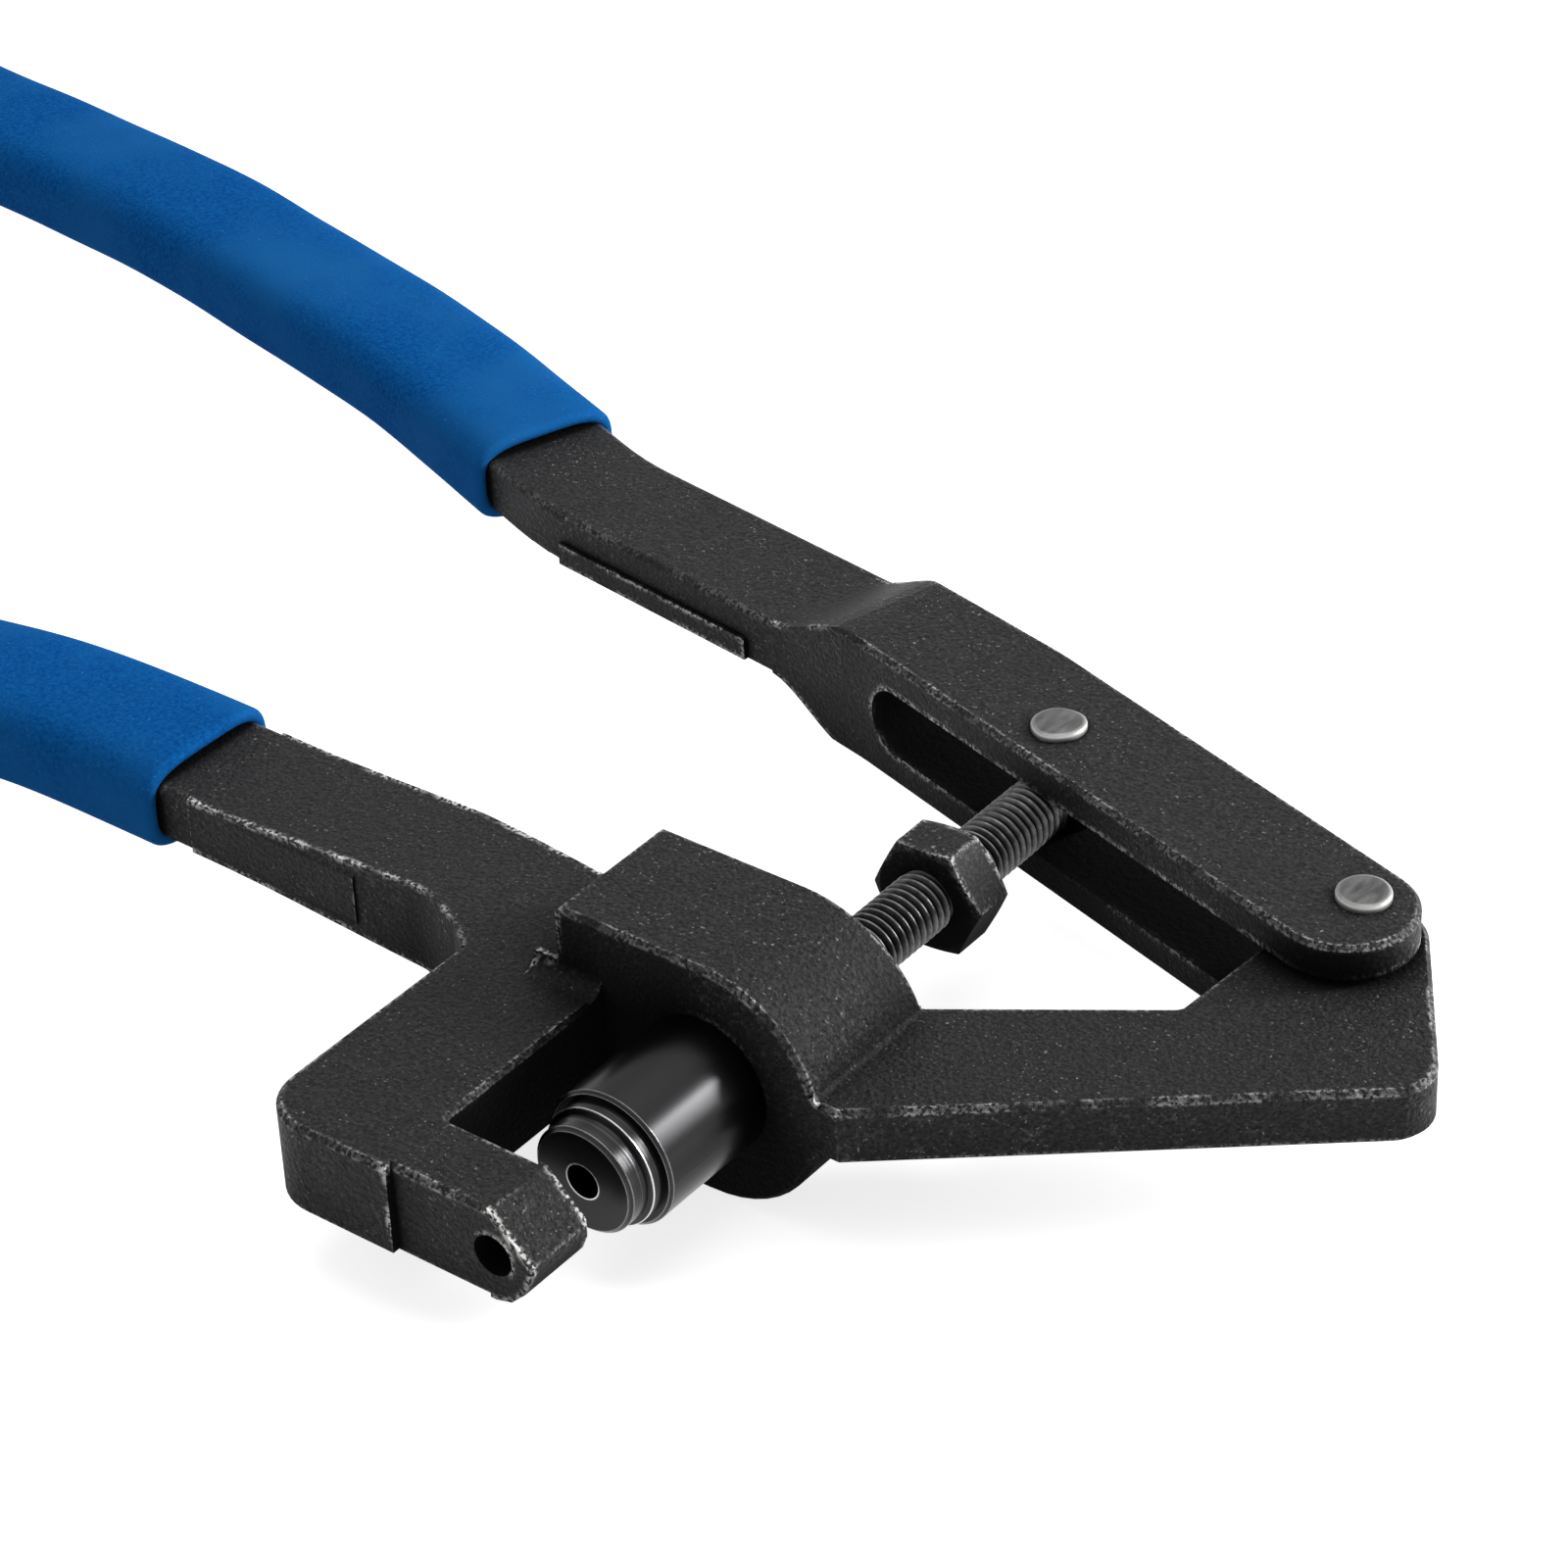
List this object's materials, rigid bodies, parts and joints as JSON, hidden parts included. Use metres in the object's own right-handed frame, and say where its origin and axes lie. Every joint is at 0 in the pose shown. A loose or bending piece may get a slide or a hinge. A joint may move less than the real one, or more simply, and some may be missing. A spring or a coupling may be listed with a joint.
{
  "type": "snap setter pliers",
  "caption": "Forged steel snap setting pliers: C-shaped jaw, lever-driven ram on a threaded rod with lock nut, foam handle sleeves.",
  "frame": {"origin": "centre of the anvil seat, where the ram axis leaves the jaw's inner face", "axes": "+Y along the ram axis from jaw to lever, +X from the spine towards the lever's pivot, +Z along the thickness; the forgings are mirrored about z = 0"},
  "size_m": [0.4054, 0.2201, 0.0396],
  "materials": {
    "forging": "black oxide over sand-blasted forging skin",
    "foam": "matt fine-celled foam",
    "rivet_steel": "rubbed bare steel",
    "dark_steel": "satin black oxide, turned"
  },
  "bodies": {
    "frame": {"frame": "forging", "frame_grip": "foam"},
    "lever": {"lever": "forging", "lever_grip": "foam", "pivot_rivet": "rivet_steel", "rod_rivet": "rivet_steel"},
    "ram": {"ram": "dark_steel"},
    "rod": {"threaded_rod": "dark_steel"},
    "nut": {"lock_nut": "dark_steel"},
    "set_screw": {"ram_set_screw": "dark_steel"}
  },
  "joints": [
    {"name": "lever_hinge", "type": "hinge", "parent": "frame", "child": "lever", "pos_m": [0.0609, 0.1106, 0], "axis": [0, 0, 1], "range_deg": [-11, 6]},
    {"name": "ram_slide", "type": "slide", "parent": "frame", "child": "ram", "axis": [0, 1, 0], "range_m": [-0.0065, 0.0118]},
    {"name": "rod_swing", "type": "hinge", "parent": "ram", "child": "rod", "pos_m": [0, 0.048, 0], "axis": [0, 0, 1], "range_deg": [-2.2, 1.3]},
    {"name": "nut_travel", "type": "slide", "parent": "rod", "child": "nut", "axis": [0, 1, 0], "range_m": [-0.0288, 0.01]},
    {"name": "set_screw_turn", "type": "hinge", "parent": "ram", "child": "set_screw", "pos_m": [0, 0.016, 0], "axis": [0, 1, 0], "continuous": true}
  ],
  "couplings": [
    {"joint": "ram_slide", "follows": "lever_hinge", "m_per_rad": -0.06},
    {"joint": "rod_swing", "follows": "lever_hinge", "ratio": 0.19}
  ]
}
